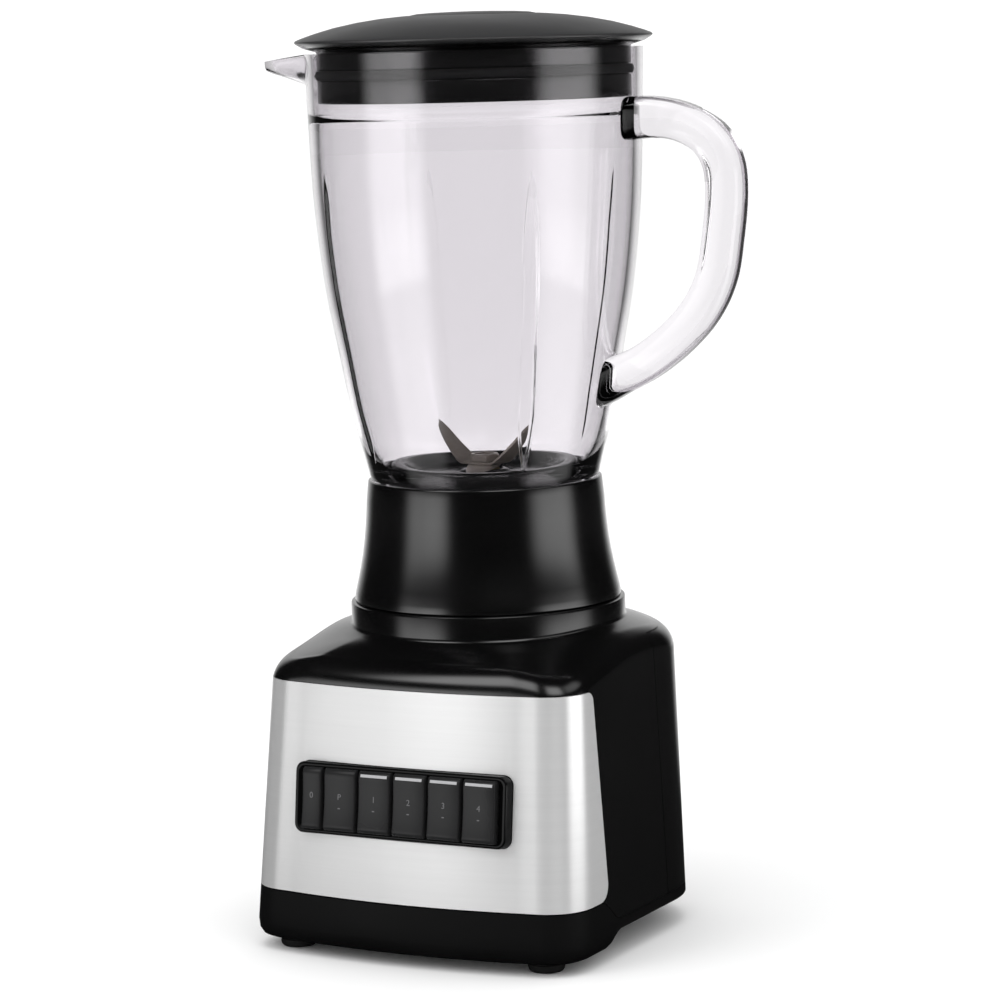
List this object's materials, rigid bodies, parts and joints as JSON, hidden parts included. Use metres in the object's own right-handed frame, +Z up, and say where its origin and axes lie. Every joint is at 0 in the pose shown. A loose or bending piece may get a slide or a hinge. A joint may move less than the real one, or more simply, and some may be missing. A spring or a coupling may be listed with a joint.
{
  "type": "countertop blender",
  "caption": "Countertop blender with a clear glass jar, black flared collar and lid, a brushed steel front and a row of piano keys.",
  "frame": {"origin": "middle of the bottom of the whole object's box, on the table", "axes": "+Z up, the key row faces -Y, the jar handle points to +X (turned 5 degrees towards the back) and the pouring lip to -X"},
  "size_m": [0.2216, 0.1672, 0.3996],
  "materials": {
    "black_plastic": "black moulded plastic, satin gloss with a faint mould grain",
    "lid_plastic": "dark grey-black plastic, matt on top and glossy on the plug",
    "key_plastic": null,
    "steel_panel": "stainless sheet, brushed from side to side",
    "blade_steel": "ground stainless blades",
    "machine_steel": "bright machine steel",
    "laminations": "stacked electrical steel sheets",
    "copper": "enamelled copper wire and copper bars",
    "brass": "turned and pressed brass",
    "carbon": "pressed carbon",
    "rubber": "black rubber, matt",
    "clear_silicone": "translucent silicone",
    "nylon": "natural nylon",
    "jar_glass": "clear pressed glass"
  },
  "bodies": {
    "base": {"front_housing": "black_plastic", "rear_cover": "black_plastic", "front_panel": "steel_panel", "key_bezel": "black_plastic", "switch_block": "nylon", "base_tray": "black_plastic", "cord_grommet": "rubber", "turret_seal": "rubber", "foot_front_left": "rubber", "foot_front_right": "rubber", "foot_rear_left": "rubber", "foot_rear_right": "rubber", "tray_screw_front_left": "machine_steel", "tray_screw_front_right": "machine_steel", "tray_screw_rear_left": "machine_steel", "tray_screw_rear_right": "machine_steel", "key_spring_off": "machine_steel", "key_spring_pulse": "machine_steel", "key_spring_speed_1": "machine_steel", "key_spring_speed_2": "machine_steel", "key_spring_speed_3": "machine_steel", "key_spring_speed_4": "machine_steel", "stator": "laminations", "field_coil_front": "copper", "field_coil_rear": "copper", "motor_bracket_lower": "machine_steel", "motor_bracket_upper": "machine_steel", "motor_bearing_lower": "machine_steel", "motor_bearing_upper": "machine_steel", "motor_bolt_left": "machine_steel", "motor_bolt_right": "machine_steel", "brush_holder_left": "brass", "brush_holder_right": "brass", "carbon_brush_left": "carbon", "carbon_brush_right": "carbon"},
    "rotor": {"motor_shaft": "machine_steel", "armature_core": "laminations", "armature_winding": "copper", "commutator": "copper", "cooling_fan": "nylon", "drive_coupling": "nylon"},
    "key_off": {"key_off": "key_plastic"},
    "key_pulse": {"key_pulse": "key_plastic"},
    "key_speed_1": {"key_speed_1": "key_plastic"},
    "key_speed_2": {"key_speed_2": "key_plastic"},
    "key_speed_3": {"key_speed_3": "key_plastic"},
    "key_speed_4": {"key_speed_4": "key_plastic"},
    "jar_base": {"jar_collar": "black_plastic", "blade_carrier": "black_plastic", "jar_seal": "clear_silicone", "shaft_bush": "brass"},
    "blade_unit": {"blade_shaft": "blade_steel", "lower_blade": "blade_steel", "upper_blade": "blade_steel", "blade_nut": "blade_steel", "driven_coupling": "nylon"},
    "glass": {"glass_jar": "jar_glass"},
    "lid": {"lid": "lid_plastic", "lid_seal": "rubber"},
    "filler_cap": {"filler_cap": "lid_plastic"}
  },
  "joints": [
    {"name": "motor_spin", "type": "hinge", "parent": "base", "child": "rotor", "pos_m": [-0.01081, 0.00669, 0.1], "axis": [0, 0, 1], "continuous": true},
    {"name": "key_off_press", "type": "slide", "parent": "base", "child": "key_off", "axis": [0, 0.9932, -0.1162], "range_m": [0, 0.003], "stiffness_N_per_m": 400, "springref_m": -0.002, "deforming": ["key_spring_off"]},
    {"name": "key_pulse_press", "type": "slide", "parent": "base", "child": "key_pulse", "axis": [0, 0.9932, -0.1162], "range_m": [0, 0.003], "stiffness_N_per_m": 400, "springref_m": -0.002, "deforming": ["key_spring_pulse"]},
    {"name": "key_speed_1_press", "type": "slide", "parent": "base", "child": "key_speed_1", "axis": [0, 0.9932, -0.1162], "range_m": [0, 0.003], "stiffness_N_per_m": 400, "springref_m": -0.002, "deforming": ["key_spring_speed_1"]},
    {"name": "key_speed_2_press", "type": "slide", "parent": "base", "child": "key_speed_2", "axis": [0, 0.9932, -0.1162], "range_m": [0, 0.003], "stiffness_N_per_m": 400, "springref_m": -0.002, "deforming": ["key_spring_speed_2"]},
    {"name": "key_speed_3_press", "type": "slide", "parent": "base", "child": "key_speed_3", "axis": [0, 0.9932, -0.1162], "range_m": [0, 0.003], "stiffness_N_per_m": 400, "springref_m": -0.002, "deforming": ["key_spring_speed_3"]},
    {"name": "key_speed_4_press", "type": "slide", "parent": "base", "child": "key_speed_4", "axis": [0, 0.9932, -0.1162], "range_m": [0, 0.003], "stiffness_N_per_m": 400, "springref_m": -0.002, "deforming": ["key_spring_speed_4"]},
    {"name": "jar_lift", "type": "slide", "parent": "base", "child": "jar_base", "axis": [0, 0, 1], "range_m": [0, 0.06]},
    {"name": "blade_spin", "type": "hinge", "parent": "jar_base", "child": "blade_unit", "pos_m": [-0.01081, 0.00669, 0.19], "axis": [0, 0, 1], "continuous": true},
    {"name": "glass_unscrew", "type": "slide", "parent": "jar_base", "child": "glass", "axis": [0, 0, 1], "range_m": [0, 0.05]},
    {"name": "lid_lift", "type": "slide", "parent": "glass", "child": "lid", "axis": [0, 0, 1], "range_m": [0, 0.05]},
    {"name": "cap_lift", "type": "slide", "parent": "lid", "child": "filler_cap", "axis": [0, 0, 1], "range_m": [0, 0.04]}
  ],
  "couplings": [
    {"joint": "blade_spin", "follows": "motor_spin", "ratio": 1}
  ]
}
